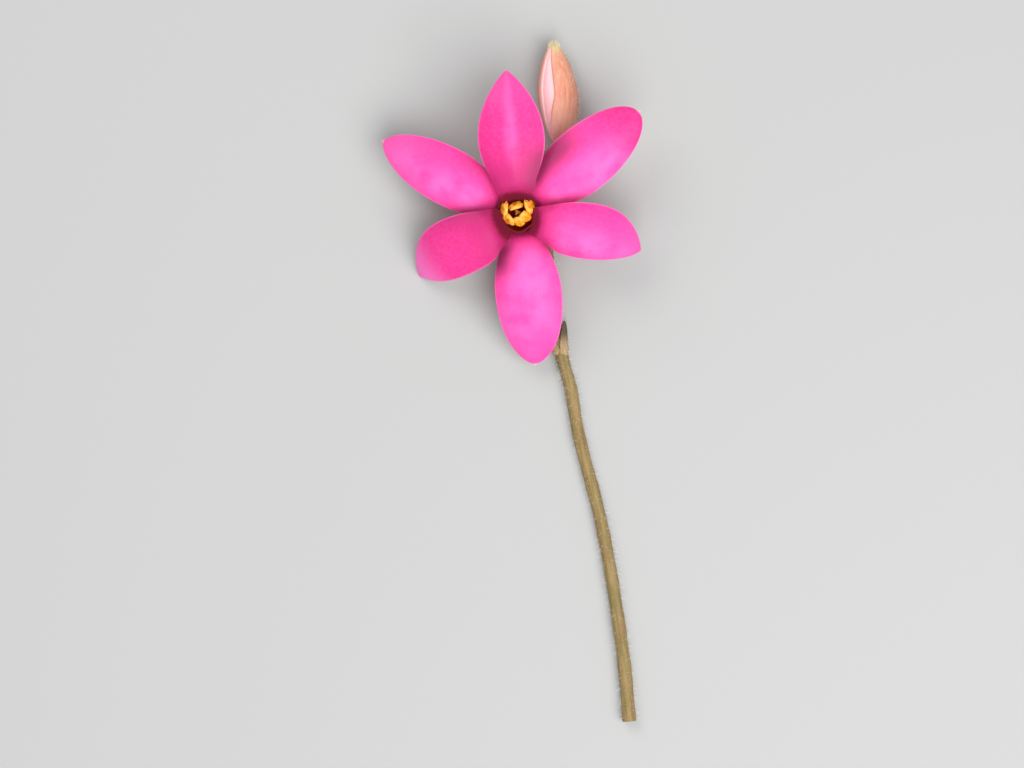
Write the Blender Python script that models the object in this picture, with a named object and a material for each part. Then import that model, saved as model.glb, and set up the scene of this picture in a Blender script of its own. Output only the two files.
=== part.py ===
"""Rhodohypoxis flower, picked and laid on a flat surface.

Metres, +Z up, resting on z = 0, with the origin below the middle of the whole flower.
The open bloom faces up. Its forked stem lies on the surface towards -Y, and the closed bud
that shares the stem lies behind the bloom, towards +Y.
"""

from math import cos, pi, radians, sin

import bmesh
import bpy
import numpy as np
from mathutils import Matrix, Vector

MM = 0.001

# Driving dimensions

GAP = 0.3 * MM                        # clearance between pieces that touch
BLADE = 0.6 * MM                      # thickness of the tepals
UNDER_BLOOM = (0.5 * MM, 17.3 * MM)   # the point below the bloom, from the middle of the footprint
BLOOM_HEIGHT = 8.2 * MM               # the level at which the inner tepals leave the cup
BLOOM_LEAN = 10                       # degrees that the bloom leans
LEAN_TOWARDS = 245                    # and which way, degrees from +X

RING_RADIUS = 2.3 * MM                # the ring on which the tepals start
WHORL_STEP = 1.4 * MM                 # the outer whorl starts this much lower
TEPAL_ROWS = 14                       # faces along a tepal
TEPAL_COLUMNS = 8                     # and across it
START_RISE = 32                       # degrees that a tepal rises as it leaves the cup
RISE_SPAN = 0.05                      # share of its length over which that rise fades
OUTER_ARCH = (62, 25)                 # half angle of the arched section, at the base and the tip
INNER_ARCH = (34, 22)

# Each tepal: its place on the ring and its heading in degrees counterclockwise from +X, its
# slope and roll at the start, the twist, sweep and droop that it gathers by the tip, how late
# it droops, its length and its half width left and right of its heading in mm, where along
# the length each side is widest, its width at the base as a share, and how pointed it is.
TEPALS = {
    "inner_tepal_1": dict(ring=95, heading=93, slope=2, roll=0, twist=0, sweep=3,
                          droop=30, late=1.6, length=12.7, half=(3.6, 3.5),
                          widest=(0.42, 0.42), base=0.50, pointed=1.0),
    "inner_tepal_2": dict(ring=-25, heading=-7, slope=-1, roll=6, twist=-12, sweep=-25,
                          droop=56, late=1.6, length=12.6, half=(3.4, 3.1),
                          widest=(0.52, 0.28), base=0.50, pointed=0.85),
    "inner_tepal_3": dict(ring=215, heading=205, slope=-4, roll=-4, twist=12, sweep=22,
                          droop=64, late=1.3, length=13.2, half=(3.3, 3.5),
                          widest=(0.24, 0.48), base=0.54, pointed=0.8),
    "outer_tepal_1": dict(ring=35, heading=39, slope=4, roll=6, twist=-6, sweep=0,
                          droop=30, late=1.6, length=14.1, half=(3.6, 3.6),
                          widest=(0.43, 0.38), base=0.55, pointed=0.5),
    "outer_tepal_2": dict(ring=155, heading=154, slope=0, roll=-4, twist=8, sweep=0,
                          droop=42, late=1.5, length=14.5, half=(3.5, 3.05),
                          widest=(0.32, 0.40), base=0.58, pointed=0.75),
    "outer_tepal_3": dict(ring=275, heading=277, slope=4, roll=0, twist=0, sweep=-3,
                          droop=38, late=1.6, length=14.4, half=(3.95, 3.6),
                          widest=(0.42, 0.42), base=0.55, pointed=0.62),
}

# The cup below the tepals, as (radius, height) in mm from the bloom's centre, floor to floor
CUP_PROFILE = [
    (0.0, -3.3), (0.9, -3.3), (1.35, -2.9), (1.75, -2.2), (1.95, -1.4), (2.0, -0.4),
    (1.85, 0.0), (1.6, -0.15), (1.55, -1.2), (1.3, -1.9), (0.8, -2.4), (0.0, -2.5),
]
OVARY_PROFILE = [
    (0.0, -3.6), (0.95, -3.6), (1.2, -3.9), (1.32, -4.4), (1.25, -5.0), (1.0, -5.5),
    (0.62, -5.9), (0.0, -5.9),
]
TURNED_SIDES = 20

# Stamens: bearing in degrees, the anther's distance from the axis and the height of its top
STAMENS = {
    "stamen_1": (97, 0.95 * MM, 0.15 * MM),
    "stamen_2": (30, 1.12 * MM, 0.45 * MM),
    "stamen_3": (-22, 1.10 * MM, 0.25 * MM),
    "stamen_4": (-82, 1.10 * MM, 0.35 * MM),
    "stamen_5": (216, 1.10 * MM, 0.30 * MM),
    "stamen_6": (157, 1.12 * MM, 0.40 * MM),
}
STAMEN_FOOT = 0.75 * MM               # where the filament stands, from the axis
STAMEN_FLOOR = -2.05 * MM             # and its level
FILAMENT_RADIUS = 0.16 * MM
ANTHER_LENGTH = 1.35 * MM
ANTHER_HALF_WIDTH = 0.45 * MM
ANTHER_HALF_DEPTH = 0.27 * MM
ANTHER_WAIST = 0.35                   # how far the groove between its two lobes cuts in
STAMEN_SIDES = 12
# Sections up a stamen: share of the filament passed, share of the anther passed, fullness
STAMEN_SECTIONS = [
    (0.0, 0.0, 0.0), (0.5, 0.0, 0.0), (0.9, 0.0, 0.0), (1.0, 0.0, 0.35),
    (1.0, 0.18, 0.85), (1.0, 0.5, 1.0), (1.0, 0.82, 0.85), (1.0, 1.0, 0.35),
]
STYLE_FOOT = -2.15 * MM
# Sections up the style: height from its foot, radius, and how far its three lobes swell
STYLE_SECTIONS = [
    (0.0, 0.18 * MM, 0.0), (0.95 * MM, 0.18 * MM, 0.0), (1.35 * MM, 0.28 * MM, 0.3),
    (1.85 * MM, 0.28 * MM, 0.3), (2.05 * MM, 0.18 * MM, 0.2),
]
STYLE_SIDES = 18

# Stem routes in mm from the point below the bloom, as (x, y, z, radius)
SCAPE_ROUTE = [
    (4.35, -12.6, 0.62, 0.66), (4.80, -15.1, 0.60, 0.66), (5.54, -17.7, 0.60, 0.65),
    (6.44, -22.9, 0.60, 0.64), (8.37, -30.2, 0.60, 0.65), (9.60, -36.3, 0.60, 0.66),
    (10.97, -45.5, 0.62, 0.68), (11.60, -52.0, 0.64, 0.70),
]
BLOOM_STALK_ROUTE = [
    (4.45, -13.4, 0.62, 0.56), (3.45, -10.8, 0.75, 0.52), (1.90, -7.0, 0.85, 0.50),
    (0.95, -3.4, 0.85, 0.50), (0.55, -0.8, 1.10, 0.50), (0.45, 0.9, 1.95, 0.52),
]
BUD_STALK_ROUTE = [
    (4.45, -13.4, 0.62, 0.56), (4.00, -10.5, 0.60, 0.50), (3.45, -5.5, 0.58, 0.48),
    (3.05, 0.0, 0.60, 0.48), (3.35, 4.3, 1.15, 0.52),
]
STALK_STEPS = 5                       # faces between two points of a route
GROUND_SIZE = (200 * MM, 200 * MM, 10 * MM)   # block that trims what lies on the surface

# Bracts at the fork, as (x, y, z) in mm of the base and the tip
BRACTS = {
    "bract_of_bloom": ((5.10, -14.4, 1.80), (4.90, -11.1, 1.50)),
    "bract_of_bud": ((3.50, -14.2, 1.40), (2.55, -11.2, 1.35)),
}
BRACT_HALF_WIDTH = 0.42 * MM
BRACT_HALF_THICKNESS = 0.30 * MM
BRACT_TAPER = (0.15, 0.95)            # the stretch of a half wave that its outline follows
BRACT_ROWS = 8
BRACT_SIDES = 8

# The bud's axis in mm from the point below the bloom, and its girth
BUD_AXIS = [
    (4.20, 6.9, 1.72), (4.45, 9.0, 1.88), (4.35, 11.3, 1.95), (4.15, 13.0, 1.98),
    (3.95, 15.2, 2.02), (3.75, 17.7, 2.10),
]
BUD_RADIUS = 2.07 * MM
BUD_FULLNESS = 0.65                   # lower is fuller towards the two ends
BUD_ENDS = (0.05, 0.985)              # the share of the axis that the tepals cover
BUD_CORE_ENDS = (0.10, 0.86)
BUD_TIP_WALL = 0.1 * MM               # the shells stay this far from the axis at the two ends
BUD_ROWS = 12
BUD_COLUMNS = 7
BUD_SIDES = 14
SLIT_MIDDLE = -30                     # degrees from the top, positive to the right
SLIT_HALF_ANGLE = 17
SLIT_SHAPE = 0.7                      # lower keeps the slit wide for longer
BUD_TEPALS = {                        # first and last bearing round the bud, in degrees
    "bud_outer_tepal_1": (-30, 110),
    "bud_outer_tepal_2": (230, 330),
    "bud_outer_tepal_3": (110, 230),
}
BUD_OVARY_AXIS = [(3.40, 4.65, 1.30), (3.60, 5.6, 1.50), (4.05, 6.75, 1.68)]
BUD_OVARY_RADIUS = 1.10 * MM

COLOURS = {
    "tepal_pink": ((0.93, 0.09, 0.42), 0.55),
    "cup_maroon": ((0.16, 0.012, 0.025), 0.60),
    "anther_orange": ((0.95, 0.46, 0.08), 0.70),
    "stigma_cream": ((0.85, 0.55, 0.20), 0.60),
    "stem_olive": ((0.34, 0.22, 0.085), 0.70),
    "ovary_olive": ((0.30, 0.26, 0.10), 0.75),
    "bract_brown": ((0.17, 0.12, 0.06), 0.80),
    "bud_tan": ((0.66, 0.29, 0.20), 0.65),
    "bud_pale_pink": ((0.94, 0.55, 0.60), 0.60),
}


# Scene, materials and frames

def clear_scene():
    for obj in list(bpy.data.objects):
        bpy.data.objects.remove(obj, do_unlink=True)


def material(name):
    colour, roughness = COLOURS[name]
    mat = bpy.data.materials.get(name) or bpy.data.materials.new(name)
    mat.use_nodes = True
    shader = mat.node_tree.nodes["Principled BSDF"]
    shader.inputs["Base Color"].default_value = (*colour, 1.0)
    shader.inputs["Roughness"].default_value = roughness
    shader.inputs["Metallic"].default_value = 0.0
    return mat


def empty(name, location, parent=None, turn=None):
    obj = bpy.data.objects.new(name, None)
    bpy.context.scene.collection.objects.link(obj)
    obj.parent = parent
    placed = Matrix.Translation(location)
    obj.matrix_basis = placed @ turn if turn else placed
    return obj


def add_object(name, mesh, slot, parent):
    mesh.materials.append(material(slot))
    mesh.shade_smooth()
    mesh.set_sharp_from_angle(angle=radians(60))
    obj = bpy.data.objects.new(name, mesh)
    bpy.context.scene.collection.objects.link(obj)
    obj.parent = parent
    return obj


def lean_matrix():
    """Turn that leans +Z towards a bearing."""
    bearing = radians(LEAN_TOWARDS)
    axis = Vector((-sin(bearing), cos(bearing), 0.0))
    return Matrix.Rotation(radians(BLOOM_LEAN), 4, axis)


# Meshes

def clean_mesh(name, vertices, faces):
    """Mesh from points and faces, with coincident points welded."""
    mesh = bpy.data.meshes.new(name)
    mesh.from_pydata(vertices, [], faces)
    bm = bmesh.new()
    bm.from_mesh(mesh)
    bmesh.ops.remove_doubles(bm, verts=bm.verts, dist=0.001 * MM)
    bm.to_mesh(mesh)
    bm.free()
    return mesh


def blade_mesh(name, top, bottom):
    """Closed mesh between two grids of points, with both faces split into triangles alike."""
    rows, columns = top.shape[:2]
    index = np.arange(rows * columns).reshape(rows, columns)
    a, b, c, d = index[:-1, :-1], index[1:, :-1], index[1:, 1:], index[:-1, 1:]
    upper = np.concatenate([np.stack([a, b, c], -1).reshape(-1, 3),
                            np.stack([a, c, d], -1).reshape(-1, 3)])
    lower = upper[:, ::-1] + rows * columns
    loop = np.concatenate([index[:-1, 0], index[-1, :-1], index[:0:-1, -1], index[0, :0:-1]])
    ahead = np.roll(loop, -1)
    below = loop + rows * columns
    below_ahead = ahead + rows * columns
    rim = np.concatenate([np.stack([ahead, loop, below], -1),
                          np.stack([ahead, below, below_ahead], -1)])
    points = np.concatenate([top.reshape(-1, 3), bottom.reshape(-1, 3)])
    return clean_mesh(name, points.tolist(), np.concatenate([upper, lower, rim]).tolist())


def tube_mesh(name, rings):
    """Closed mesh through a row of rings, each an array of points, with both ends filled."""
    count, sides = rings.shape[:2]
    index = np.arange(count * sides).reshape(count, sides)
    here, up = index[:-1], index[1:]
    walls = np.stack([here, np.roll(here, -1, 1), np.roll(up, -1, 1), up], -1).reshape(-1, 4)
    faces = walls.tolist()
    faces.append(index[0, ::-1].tolist())
    faces.append(index[-1].tolist())
    return clean_mesh(name, rings.reshape(-1, 3).tolist(), faces)


def turned_mesh(name, profile):
    """Closed mesh turned from an outline of (radius, height) that starts and ends on the axis."""
    bm = bmesh.new()
    points = [bm.verts.new((r * MM, 0.0, z * MM)) for r, z in profile]
    edges = [bm.edges.new(pair) for pair in zip(points, points[1:])]
    bmesh.ops.spin(bm, geom=points + edges, cent=(0, 0, 0), axis=(0, 0, 1),
                   angle=2 * pi, steps=TURNED_SIDES, use_merge=True)
    bmesh.ops.remove_doubles(bm, verts=bm.verts, dist=0.001 * MM)
    bmesh.ops.recalc_face_normals(bm, faces=bm.faces)
    mesh = bpy.data.meshes.new(name)
    bm.to_mesh(mesh)
    bm.free()
    return mesh


def smooth_path(points, count):
    """Points of a smooth curve through a few given ones, evenly shared out (Catmull-Rom)."""
    given = np.array(points, float)
    padded = np.concatenate([[2 * given[0] - given[1]], given, [2 * given[-1] - given[-2]]])
    place = np.linspace(0, len(given) - 1, count)
    span = np.minimum(place.astype(int), len(given) - 2)
    t = (place - span)[:, None]
    p0, p1, p2, p3 = (padded[span + k] for k in range(4))
    return 0.5 * (2 * p1 + (p2 - p0) * t + (2 * p0 - 5 * p1 + 4 * p2 - p3) * t ** 2
                  + (3 * p1 - p0 - 3 * p2 + p3) * t ** 3)


def unit(vectors):
    return vectors / np.linalg.norm(vectors, axis=-1, keepdims=True)


# Bloom

def tepal_surfaces(shape, whorl_drop, arch_ends):
    """Top and bottom of a tepal as grids of points, from its base to its tip.

    The midline climbs out of the cup, then droops and sweeps sideways on its way out. Across
    it the blade is an arc that falls away to both sides. The bottom lies one blade below.
    """
    u = 0.5 - 0.5 * np.cos(np.linspace(0, pi, TEPAL_ROWS + 1))
    v = np.linspace(-1, 1, TEPAL_COLUMNS + 1)
    pitch = np.radians(START_RISE * np.exp(-u / RISE_SPAN) - shape["droop"] * u ** shape["late"])
    yaw = np.radians(shape["sweep"] * u)[:, None]
    heading, slope, roll = (radians(shape[key]) for key in ("heading", "slope", "roll"))

    forward = np.array([cos(slope) * cos(heading), cos(slope) * sin(heading), sin(slope)])
    level = np.array([-sin(heading), cos(heading), 0.0])
    left = level * cos(roll) + np.cross(forward, level) * sin(roll)
    up = np.cross(forward, left)

    flat = forward * np.cos(yaw) + left * np.sin(yaw)
    along = flat * np.cos(pitch)[:, None] + up * np.sin(pitch)[:, None]
    across = left * np.cos(yaw) - forward * np.sin(yaw)
    normal = np.cross(along, across)
    twist = np.radians(shape["twist"] * u)[:, None]
    across, normal = (across * np.cos(twist) + normal * np.sin(twist),
                      normal * np.cos(twist) - across * np.sin(twist))

    ring = radians(shape["ring"])
    start = np.array([RING_RADIUS * cos(ring), RING_RADIUS * sin(ring), -whorl_drop])
    steps = (along[1:] + along[:-1]) / 2 * np.diff(u)[:, None]
    travelled = np.concatenate([np.zeros((1, 3)), np.cumsum(steps, axis=0)])
    midline = start + shape["length"] * MM * travelled

    half = np.where(v > 0, half_width(u, shape, 0)[:, None], half_width(u, shape, 1)[:, None])
    arch = np.radians(arch_ends[0] + (arch_ends[1] - arch_ends[0]) * u)[:, None]
    aside = (half / arch * np.sin(arch * v))[..., None]
    fall = (half / arch * (1 - np.cos(arch * v)))[..., None]
    top = midline[:, None] + aside * across[:, None] - fall * normal[:, None]

    fading = np.minimum(1.0, 2 * half / half.max())
    tilt = (arch * v * fading)[..., None]
    bottom = top - BLADE * (normal[:, None] * np.cos(tilt) + across[:, None] * np.sin(tilt))
    return top, bottom


def half_width(u, shape, side):
    """Half width of a tepal on one side: it swells from the base, then closes to the tip."""
    widest = shape["widest"][side]
    swelling = shape["base"] + (1 - shape["base"]) * np.sin(pi / 2 * np.minimum(u / widest, 1))
    closing = (1 - np.clip((u - widest) / (1 - widest), 0, 1) ** 2) ** shape["pointed"]
    return shape["half"][side] * MM * np.where(u < widest, swelling, closing)


def build_tepals(bloom):
    for name, shape in TEPALS.items():
        outer = name.startswith("outer")
        surfaces = tepal_surfaces(shape, WHORL_STEP if outer else 0.0,
                                  OUTER_ARCH if outer else INNER_ARCH)
        add_object(name, blade_mesh(name, *surfaces), "tepal_pink", bloom)


def bearings(sides):
    """Angles of a section's points, evenly spread."""
    return np.arange(sides) / sides * 2 * pi


def build_stamens(bloom):
    """Each stamen is a thin filament that widens into an anther with two lobes."""
    climb, passed, fullness = np.array(STAMEN_SECTIONS).T
    around = bearings(STAMEN_SIDES)
    groove = 1 - ANTHER_WAIST * np.exp(-(np.cos(around) / 0.4) ** 2)
    for name, (bearing, distance, top) in STAMENS.items():
        outward = np.array([cos(radians(bearing)), sin(radians(bearing)), 0.0])
        sideways = np.array([-outward[1], outward[0], 0.0])
        anther_foot = top - ANTHER_LENGTH
        radius = STAMEN_FOOT + (distance - STAMEN_FOOT) * climb
        level = STAMEN_FLOOR + (anther_foot - STAMEN_FLOOR) * climb + ANTHER_LENGTH * passed
        middle = radius[:, None] * outward + level[:, None] * np.array([0.0, 0.0, 1.0])
        wide = (FILAMENT_RADIUS + (ANTHER_HALF_WIDTH - FILAMENT_RADIUS) * fullness)[:, None]
        deep = (FILAMENT_RADIUS + (ANTHER_HALF_DEPTH - FILAMENT_RADIUS) * fullness)[:, None]
        rings = (middle[:, None] + (wide * np.cos(around))[..., None] * sideways
                 - (deep * np.sin(around) * groove)[..., None] * outward)
        add_object(name, tube_mesh(name, rings), "anther_orange", bloom)


def build_stigma(bloom):
    """Style with a head of three lobes: its section swells three times round the axis."""
    height, radius, swell = np.array(STYLE_SECTIONS).T[..., None]
    around = bearings(STYLE_SIDES)
    reach = radius * (1 + swell * np.cos(3 * around))
    rings = np.stack([reach * np.cos(around), reach * np.sin(around),
                      np.broadcast_to(STYLE_FOOT + height, reach.shape)], -1)
    add_object("stigma", tube_mesh("stigma", rings), "stigma_cream", bloom)


def build_cup(bloom):
    add_object("perianth_cup", turned_mesh("perianth_cup", CUP_PROFILE), "cup_maroon", bloom)
    add_object("ovary", turned_mesh("ovary", OVARY_PROFILE), "ovary_olive", bloom)


# Stem

def stalk(name, route, parent):
    """Round stalk along a smooth curve, with its radius from the route, as a mesh object."""
    path = smooth_path(route, STALK_STEPS * (len(route) - 1) + 1) * MM
    curve = bpy.data.curves.new(name, "CURVE")
    curve.dimensions = "3D"
    curve.twist_mode = "Z_UP"
    curve.bevel_depth = MM
    curve.bevel_resolution = 3
    curve.use_fill_caps = True
    spline = curve.splines.new("POLY")
    spline.points.add(len(path) - 1)
    for point, (x, y, z, radius) in zip(spline.points, path):
        point.co = (x, y, z, 1.0)
        point.radius = radius / MM
    holder = bpy.data.objects.new(name, curve)
    bpy.context.scene.collection.objects.link(holder)
    depsgraph = bpy.context.evaluated_depsgraph_get()
    mesh = bpy.data.meshes.new_from_object(holder.evaluated_get(depsgraph))
    bpy.data.objects.remove(holder)
    bpy.data.curves.remove(curve)
    return add_object(name, mesh, "stem_olive", parent)


def combine(target, others, operation):
    """Apply a Boolean of the given objects to the target and remove them."""
    for other in others:
        cut = target.modifiers.new(other.name, "BOOLEAN")
        cut.operation = operation
        cut.solver = "EXACT"
        cut.object = other
    depsgraph = bpy.context.evaluated_depsgraph_get()
    mesh = bpy.data.meshes.new_from_object(target.evaluated_get(depsgraph))
    target.modifiers.clear()
    target.data = mesh
    for other in others:
        bpy.data.objects.remove(other)


def ground_block(parent):
    """Block whose top is the surface that the flower lies on."""
    bm = bmesh.new()
    bmesh.ops.create_cube(bm, size=1.0, matrix=Matrix.Diagonal((*GROUND_SIZE, 1.0)))
    bmesh.ops.translate(bm, verts=bm.verts, vec=(0.0, 0.0, -GROUND_SIZE[2] / 2))
    mesh = bpy.data.meshes.new("ground_block")
    bm.to_mesh(mesh)
    bm.free()
    return add_object("ground_block", mesh, "stem_olive", parent)


def build_scape(flower):
    scape = stalk("scape", SCAPE_ROUTE, flower)
    combine(scape, [stalk("bloom_stalk", BLOOM_STALK_ROUTE, flower),
                    stalk("bud_stalk", BUD_STALK_ROUTE, flower)], "UNION")
    combine(scape, [ground_block(flower)], "DIFFERENCE")


def build_bracts(flower):
    """Each bract is a narrow tongue whose outline follows part of a half wave."""
    around = bearings(BRACT_SIDES)
    u = np.linspace(0, 1, BRACT_ROWS + 1)[:, None]
    taper = np.sin(pi * (BRACT_TAPER[0] + (BRACT_TAPER[1] - BRACT_TAPER[0]) * u))
    for name, (base, tip) in BRACTS.items():
        base, tip = np.array(base) * MM, np.array(tip) * MM
        across = unit(np.cross(tip - base, [0.0, 0.0, 1.0]))
        normal = unit(np.cross(across, tip - base))
        middle = base + (tip - base) * u
        rings = (middle[:, None]
                 + (BRACT_HALF_WIDTH * taper * np.cos(around))[..., None] * across
                 + (BRACT_HALF_THICKNESS * taper * np.sin(around))[..., None] * -normal)
        add_object(name, tube_mesh(name, rings), "bract_brown", flower)


# Bud

def bud_frame(u):
    """Middle, right and up directions of the bud's section at shares u of its axis."""
    path = smooth_path(BUD_AXIS, 61) * MM
    place = np.linspace(0, 1, 61)
    middle = np.stack([np.interp(u, place, path[:, k]) for k in range(3)], -1)
    along = unit(np.gradient(path, axis=0))
    along = unit(np.stack([np.interp(u, place, along[:, k]) for k in range(3)], -1))
    right = unit(np.cross(along, [0.0, 0.0, 1.0]))
    return middle, right, np.cross(right, along)


def bud_radius(u):
    return BUD_RADIUS * (4 * u * (1 - u)) ** BUD_FULLNESS


def build_bud_tepals(flower):
    """Three curved shells side by side round the core, with a slit open between two of them."""
    spread = 0.5 - 0.5 * np.cos(np.linspace(0, pi, BUD_ROWS + 1))
    u = BUD_ENDS[0] + (BUD_ENDS[1] - BUD_ENDS[0]) * spread
    v = np.linspace(0, 1, BUD_COLUMNS + 1)
    middle, right, up = (part[:, None] for part in bud_frame(u))
    outer = bud_radius(u)
    inner = np.maximum(outer - BLADE, BUD_TIP_WALL)
    clear = np.degrees(GAP / 2 / np.maximum(inner, GAP))
    slit = clear + (SLIT_HALF_ANGLE - clear) * np.sin(pi * u) ** SLIT_SHAPE
    for name, (first, last) in BUD_TEPALS.items():
        opening = (SLIT_MIDDLE - first) % 360 == 0, (SLIT_MIDDLE - last) % 360 == 0
        start = first + (slit if opening[0] else clear)
        end = last - (slit if opening[1] else clear)
        bearing = np.radians(end[:, None] + (start - end)[:, None] * v)[..., None]
        ray = right * np.sin(bearing) + up * np.cos(bearing)
        mesh = blade_mesh(name, middle + outer[:, None, None] * ray,
                          middle + inner[:, None, None] * ray)
        obj = add_object(name, mesh, "bud_tan", flower)
        if name == "bud_outer_tepal_3":
            combine(obj, [ground_block(flower)], "DIFFERENCE")


def build_bud_core(flower):
    """The rolled inner tepals, a spindle inside the shells."""
    around = bearings(BUD_SIDES)
    u = np.linspace(*BUD_CORE_ENDS, BUD_ROWS)
    middle, right, up = (part[:, None] for part in bud_frame(u))
    radius = (bud_radius(u) - BLADE - GAP).clip(BUD_TIP_WALL)[:, None]
    rings = (middle + (radius * np.cos(around))[..., None] * up
             + (radius * np.sin(around))[..., None] * right)
    add_object("bud_inner_tepals", tube_mesh("bud_inner_tepals", rings), "bud_pale_pink", flower)


def build_bud_ovary(flower):
    around = bearings(BUD_SIDES)
    path = smooth_path(BUD_OVARY_AXIS, BUD_ROWS) * MM
    along = unit(np.gradient(path, axis=0))
    right = unit(np.cross(along, [0.0, 0.0, 1.0]))[:, None]
    up = np.cross(right[:, 0], along)[:, None]
    share = np.linspace(0, 1, BUD_ROWS)[:, None]
    radius = BUD_OVARY_RADIUS * (0.5 + 0.5 * np.sin(pi * share))
    rings = (path[:, None] + (radius * np.cos(around))[..., None] * up
             + (radius * np.sin(around))[..., None] * right)
    add_object("bud_ovary", tube_mesh("bud_ovary", rings), "ovary_olive", flower)


def build_flower():
    clear_scene()
    flower = empty("flower", (*UNDER_BLOOM, 0.0))
    bloom = empty("bloom", (0.0, 0.0, BLOOM_HEIGHT), flower, lean_matrix())
    build_tepals(bloom)
    build_stamens(bloom)
    build_stigma(bloom)
    build_cup(bloom)
    build_scape(flower)
    build_bracts(flower)
    build_bud_tepals(flower)
    build_bud_core(flower)
    build_bud_ovary(flower)


build_flower()
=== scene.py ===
from math import cos, pi, radians, sin

import bmesh
import bpy
import numpy as np
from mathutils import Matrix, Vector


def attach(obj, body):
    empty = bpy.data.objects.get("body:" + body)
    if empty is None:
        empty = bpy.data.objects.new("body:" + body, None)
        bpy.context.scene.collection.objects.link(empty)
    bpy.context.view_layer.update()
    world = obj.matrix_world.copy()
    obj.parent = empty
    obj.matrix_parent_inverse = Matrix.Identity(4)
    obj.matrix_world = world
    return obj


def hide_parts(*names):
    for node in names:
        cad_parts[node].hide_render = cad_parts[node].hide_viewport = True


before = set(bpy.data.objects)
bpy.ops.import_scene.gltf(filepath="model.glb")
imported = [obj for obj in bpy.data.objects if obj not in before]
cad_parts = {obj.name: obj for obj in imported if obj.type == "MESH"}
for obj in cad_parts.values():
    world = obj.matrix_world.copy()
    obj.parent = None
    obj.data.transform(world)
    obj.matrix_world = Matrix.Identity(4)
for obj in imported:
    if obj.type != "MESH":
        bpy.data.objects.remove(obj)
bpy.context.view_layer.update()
print("frame loaded")

mm = 0.001

# where the flower stands in the frame: the point below the bloom, and the bloom's own lean
place = {
    "underBloom": (0.5, 17.3),      # mm from the middle of the footprint
    "bloomHeight": 8.2,             # mm, the level at which the inner tepals leave the cup
    "lean": 10,                     # degrees
    "leanTowards": 245,             # degrees counterclockwise from +X
    "lowest": 0.02,                 # mm above the floor, for the stem and the bud
    "hairLowest": 0.03,
}
below = np.array([*place["underBloom"], 0.0])


# turn by the angle "lean" round the level axis that stands square to "leanTowards"
def leanMatrix():
    bearing, angle = radians(place["leanTowards"]), radians(place["lean"])
    x, y = -sin(bearing), cos(bearing)
    cross = np.array([[0, 0, y], [0, 0, -x], [-y, x, 0]])
    return np.eye(3) + sin(angle) * cross + (1 - cos(angle)) * cross @ cross


lean = leanMatrix()


# bloom millimetres to frame metres: turn by the lean, lift to the bloom's height
def fromBloom(points):
    return (points @ lean.T + below + np.array([0, 0, place["bloomHeight"]])) * mm


# stem and bud millimetres to frame metres
def fromTable(points):
    return (points + below) * mm


# Mesh and curve helpers

def unit(vectors):
    return vectors / np.linalg.norm(vectors, axis=-1, keepdims=True)


# angles shared out evenly round a circle
def roundAngles(count):
    return np.arange(count) / count * 2 * pi


# direction at an angle from the first of two square directions towards the second
def spoke(first, second, angle):
    return first * np.cos(angle)[..., None] + second * np.sin(angle)[..., None]


# rings round the upright axis, from the reach of each point and the level of each ring
def turnedRings(reach, level, angle):
    level = np.broadcast_to(level[:, None], reach.shape)
    return np.stack([reach * np.cos(angle), reach * np.sin(angle), level], -1)


# one bmesh operation done on a mesh
def rework(mesh, operation):
    bm = bmesh.new()
    bm.from_mesh(mesh)
    operation(bm)
    bm.to_mesh(mesh)
    bm.free()


def faceOutwards(mesh):
    rework(mesh, lambda bm: bmesh.ops.recalc_face_normals(bm, faces=bm.faces))


def pointValues(mesh, name, numbers):
    layer = mesh.attributes.new(name, "FLOAT", "POINT")
    layer.data.foreach_set("value", numbers.astype(np.float32).ravel())


# mesh object from an array of points and a list of faces, with UVs and attributes given for each
# point; points that coincide are welded
def meshObject(name, points, faces, uv=None, values=None):
    mesh = bpy.data.meshes.new(name)
    mesh.from_pydata(points.tolist(), [], faces)
    if uv is not None:
        corner = np.empty(len(mesh.loops), dtype=np.int32)
        mesh.loops.foreach_get("vertex_index", corner)
        layer = mesh.uv_layers.new(name="surface")
        layer.data.foreach_set("uv", uv[corner].astype(np.float32).ravel())
    for key, numbers in (values or {}).items():
        pointValues(mesh, key, numbers)
    rework(mesh, lambda bm: bmesh.ops.remove_doubles(bm, verts=bm.verts, dist=1e-7))
    mesh.shade_smooth()
    piece = bpy.data.objects.new(name, mesh)
    bpy.context.scene.collection.objects.link(piece)
    return piece


# faces of a grid of rows and columns; closed wraps the last column round to the first
def gridFaces(rows, columns, closed=False, start=0):
    index = start + np.arange(rows * columns).reshape(rows, columns)
    after = np.roll(index, -1, 1) if closed else index[:, 1:]
    here = index if closed else index[:, :-1]
    return np.stack([here[:-1], here[1:], after[1:], after[:-1]], -1).reshape(-1, 4)


# blade: the top grid, the bottom grid turned over, and a strip round the edge between them
def bladeObject(name, top, bottom, u, v, values=None):
    rows, columns = top.shape[:2]
    count = rows * columns
    index = np.arange(count).reshape(rows, columns)
    upper = gridFaces(rows, columns)
    edge = np.concatenate([index[:-1, 0], index[-1, :-1], index[:0:-1, -1], index[0, :0:-1]])
    onward = np.roll(edge, -1)
    strip = np.stack([onward, edge, edge + count, onward + count], -1)
    faces = np.concatenate([upper, upper[:, ::-1] + count, strip]).tolist()
    points = np.concatenate([top.reshape(-1, 3), bottom.reshape(-1, 3)])
    grid = np.stack(np.broadcast_arrays(u[:, None], v[None]), -1).reshape(-1, 2)
    doubled = {key: np.tile(numbers.ravel(), 2) for key, numbers in (values or {}).items()}
    doubled["underside"] = np.repeat([0.0, 1.0], count)
    return meshObject(name, points, faces, np.tile(grid, (2, 1)), doubled)


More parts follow.
